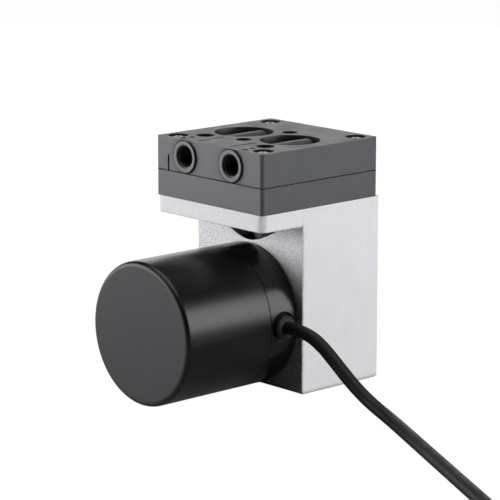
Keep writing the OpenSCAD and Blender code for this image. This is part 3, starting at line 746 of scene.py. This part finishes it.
@dataclass(frozen=True)
class Lamp:
    """A soft rectangular lamp that points at the pump. Not mirrored, glossy surfaces don't show it."""

    name: str
    place: Point
    size: tuple[float, float]
    watts: float
    mirrored: bool = True

    def hang(self, target: Point) -> None:
        """Adds the lamp to the scene.

        Args:
            target: the point that it shines at.
        """
        data = bpy.data.lights.new(self.name, "AREA")
        data.shape = "RECTANGLE"
        data.size, data.size_y = self.size
        data.energy = self.watts
        lamp = bpy.data.objects.new(self.name, data)
        bpy.context.scene.collection.objects.link(lamp)
        lamp.location = self.place
        lamp.visible_glossy = self.mirrored
        look = Vector(target) - Vector(self.place)
        lamp.rotation_euler = look.to_track_quat("-Z", "Y").to_euler()


@dataclass
class Studio:
    """The camera, the lamps, the white floor and the white backdrop."""

    azimuth: float = 47.645
    elevation: float = 12.231
    distance: float = 0.9223
    aim: Point = (0.0168, -0.00745, 0.0568)
    lens: float = 177.3
    sensor: float = 36.0
    clip: float = 0.01
    floor_size: float = 12.0
    floor_unseen: float = 0.08
    floor_mirrored: float = 0.4
    floor_cloth: float = 0.8
    floor_glow: float = 1.15
    glow_share: float = 0.84
    fill: float = 0.03
    drape: float = 1.0
    drape_low: float = 0.1
    drape_high: float = 0.55
    sweep_low: float = -0.1
    sweep_high: float = 0.5
    overhead: float = 2.6
    overhead_from: float = 0.8
    overhead_to: float = 0.93
    lamp_target: Point = (0.0, 0.0, 0.05)
    lamps: tuple[Lamp, ...] = (
        Lamp("left_box", (-0.72, -0.66, 0.2), (0.9, 0.5), 11.7),
        Lamp("left_fill", (-0.72, -0.66, 0.2), (0.9, 0.5), 2.8, mirrored=False),
        Lamp("front_box", (-0.25, -1.0, 0.22), (0.16, 0.4), 2.8, mirrored=False),
        Lamp("right_box", (0.8, 0.5, 0.32), (0.7, 0.5), 6.4),
        Lamp("side_box", (1.0, 0.1, 0.3), (0.2, 0.4), 6.4, mirrored=False),
        Lamp("back_box", (-0.75, 0.75, 0.3), (1.0, 0.6), 1.9),
    )

    def camera(self) -> None:
        """Sets the camera at the photograph's place, and the plain view of colours."""
        bpy.context.scene.view_settings.view_transform = "Standard"
        data = bpy.data.cameras.new("camera")
        data.lens = self.lens
        data.sensor_width = self.sensor
        data.clip_start = self.clip
        camera = bpy.data.objects.new("camera", data)
        bpy.context.scene.collection.objects.link(camera)
        side, up = math.radians(self.azimuth), math.radians(self.elevation)
        back = Vector((math.sin(side) * math.cos(up), -math.cos(side) * math.cos(up), math.sin(up)))
        camera.location = Vector(self.aim) + back * self.distance
        camera.rotation_euler = (math.pi / 2 - up, 0.0, side)
        bpy.context.scene.camera = camera

    def world(self) -> None:
        """Shows white all round, and a white backdrop low behind the pump in its gloss."""
        world = bpy.data.worlds.new("studio")
        world.use_nodes = True
        bpy.context.scene.world = world
        wires = Wiring(world.node_tree, "ShaderNodeOutputWorld")
        sky = wires.add("ShaderNodeBackground")
        wires.join(sky.outputs[0], wires.out.inputs["Surface"])
        path = wires.add("ShaderNodeLightPath")
        place = wires.place(Place.DIRECTION)
        rise = wires.along(place, Axis.Z)
        low = wires.spread(
            rise, self.drape, self.fill, self.drape_low, self.drape_high, Curve.SMOOTH
        )
        side = math.radians(self.azimuth)
        behind = wires.add("ShaderNodeVectorMath", operation="DOT_PRODUCT")
        behind.inputs[1].default_value = (-math.sin(side), math.cos(side), 0.0)
        wires.join(place, behind.inputs[0])
        sweep = wires.spread(
            behind.outputs["Value"], 0.0, 1.0, self.sweep_low, self.sweep_high, Curve.SMOOTH
        )
        above = wires.spread(
            rise, 0.0, self.overhead, self.overhead_from, self.overhead_to, Curve.SMOOTH
        )
        hung = wires.math(Sum.HIGHER, wires.math(Sum.TIMES, low, sweep), above)
        seen = wires.math(Sum.HIGHER, path.outputs["Is Glossy Ray"], path.outputs["Is Transmission Ray"])
        lit = wires.math(Sum.HIGHER, wires.math(Sum.TIMES, hung, seen), self.fill)
        wires.join(wires.fade(path.outputs["Is Camera Ray"], lit, 1.0), sky.inputs["Strength"])

    @staticmethod
    def matt(wires: Wiring, grey: float) -> Socket:
        """Gives a matt grey shader of one brightness."""
        return wires.add("ShaderNodeBsdfDiffuse", {"Color": (grey, grey, grey, 1.0)}).outputs[0]

    def floor(self) -> None:
        """Lays the white floor, which keeps the pump's shadow."""
        mesh = bmesh.new()
        bmesh.ops.create_grid(mesh, x_segments=1, y_segments=1, size=self.floor_size / 2)
        data = bpy.data.meshes.new("floor")
        mesh.to_mesh(data)
        mesh.free()
        floor = bpy.data.objects.new("floor", data)
        bpy.context.scene.collection.objects.link(floor)
        material = bpy.data.materials.new("floor_white")
        material.use_nodes = True
        wires = Wiring(material.node_tree)
        table = self.matt(wires, self.floor_unseen)
        image = self.matt(wires, self.floor_mirrored)
        cloth = self.matt(wires, self.floor_cloth)
        glow = wires.add("ShaderNodeEmission", {"Strength": self.floor_glow}).outputs[0]
        share = wires.add("ShaderNodeMixShader", {"Fac": self.glow_share})
        wires.join(cloth, share.inputs[1])
        wires.join(glow, share.inputs[2])
        path = wires.add("ShaderNodeLightPath")
        seen = wires.math(Sum.HIGHER, path.outputs["Is Glossy Ray"], path.outputs["Is Transmission Ray"])
        unseen = wires.blend(seen, table, image)
        white = wires.blend(path.outputs["Is Camera Ray"], unseen, share.outputs[0])
        wires.join(white, wires.out.inputs["Surface"])
        floor.data.materials.append(material)

    def light(self) -> None:
        """Hangs the lamps."""
        for lamp in self.lamps:
            lamp.hang(self.lamp_target)


@dataclass
class Lead:
    """The motor lead: a laid-out stretch, a flat coil and its plug."""

    diameter: float = 5 * MM
    length: float = 0.5
    exit: Point = (0.0293, 0.0, 0.0278)
    coil_at: tuple[float, float] = (0.2137, -0.0322)
    coil_r: float = 0.031
    coil_start: float = 242.0
    coil_flat: float = 1.5
    coil_top: float = 0.35
    climb_share: float = 0.75
    gap: float = 0.1 * MM
    step: float = 15.0

    def laid(self) -> list[Vector]:
        """Gives the stretch between the motor and the coil, laid out point by point.

        Returns:
            Its points.
        """
        route = (
            (0.031, 0.0, 0.0278), (0.035, 0.0004, 0.0277), (0.039, 0.001, 0.027),
            (0.043, 0.0015, 0.0255), (0.047, 0.0019, 0.0231), (0.051, 0.0023, 0.02),
            (0.055, 0.0027, 0.0167), (0.059, 0.0031, 0.0134), (0.063, 0.0035, 0.0104),
            (0.067, 0.0038, 0.0079), (0.071, 0.0039, 0.0059), (0.075, 0.0037, 0.0044),
            (0.079, 0.003, 0.0034), (0.083, 0.0017, 0.0028), (0.087, -0.0001, 0.0026),
            (0.097, -0.0054, 0.0026), (0.107, -0.0107, 0.0026), (0.117, -0.016, 0.0026),
            (0.127, -0.0213, 0.0026), (0.137, -0.0266, 0.0026), (0.147, -0.0319, 0.0026),
            (0.157, -0.0372, 0.0026), (0.167, -0.0425, 0.0026), (0.177, -0.0478, 0.0026),
            (0.187, -0.0531, 0.0026), (0.193, -0.0563, 0.0026),
        )
        return [Vector(self.exit)] + [Vector(p) for p in route]

    def coiled(self) -> list[Vector]:
        """Gives the coil, whose last part rises onto the turns below it.

        Returns:
            Its points.
        """
        points = []
        flat = 360.0 * self.coil_flat
        total = flat + 360.0 * self.coil_top
        turned = 0.0
        while turned <= total + 0.01:
            angle = math.radians(self.coil_start + turned)
            radius = self.coil_r - self.diameter * min(turned, flat) / 360.0
            climb = min(1.0, max(0.0, (turned - flat) / (360.0 * self.coil_top * self.climb_share)))
            rise = climb * climb * (3.0 - 2.0 * climb) * (self.diameter + self.gap)
            points.append(Vector((
                self.coil_at[0] + radius * math.cos(angle),
                self.coil_at[1] + radius * math.sin(angle),
                self.diameter / 2 + self.gap + rise,
            )))
            turned += self.step
        return points

    def make(self) -> bpy.types.Object:
        """Returns:
            The lead.
        """
        points = self.laid() + self.coiled()
        curve = bpy.data.curves.new("motor_lead", "CURVE")
        curve.dimensions = "3D"
        curve.bevel_depth = 1.0
        curve.bevel_resolution = 5
        curve.use_fill_caps = True
        spline = curve.splines.new("NURBS")
        spline.points.add(len(points) - 1)
        for dot, point in zip(spline.points, points):
            dot.co = (*point, 1.0)
            dot.radius = self.diameter / 2
        spline.order_u = 3
        spline.use_endpoint_u = True
        spline.resolution_u = 6
        spline.use_smooth = True
        lead = bpy.data.objects.new("motor_lead", curve)
        bpy.context.scene.collection.objects.link(lead)
        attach(lead, Body.HOUSING.value)
        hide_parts("cable", "cable_coil", "cable_tail")
        log.info("motor_lead made, %d points", len(points))
        return lead


def main() -> None:
    """Builds the scene in order: camera, lead, finishes, new pieces, studio."""
    logging.basicConfig(level=logging.INFO, format="%(name)s: %(message)s")
    studio = Studio()
    studio.camera()
    lead = Lead().make()
    worn = Wardrobe().dress()
    wear(lead, worn[JACKET.name])
    thread_black = THREAD_BLACK.make()
    for side, name in ((-1, "inlet_port_thread"), (1, "outlet_port_thread")):
        Port(name, side).thread(thread_black)
    # painted shade: a black ring fills the joint between the cover and the plate
    JointShade().ring(JOINT_SHADE.make())
    studio.world()
    studio.floor()
    studio.light()


if __name__ == "__main__":
    main()
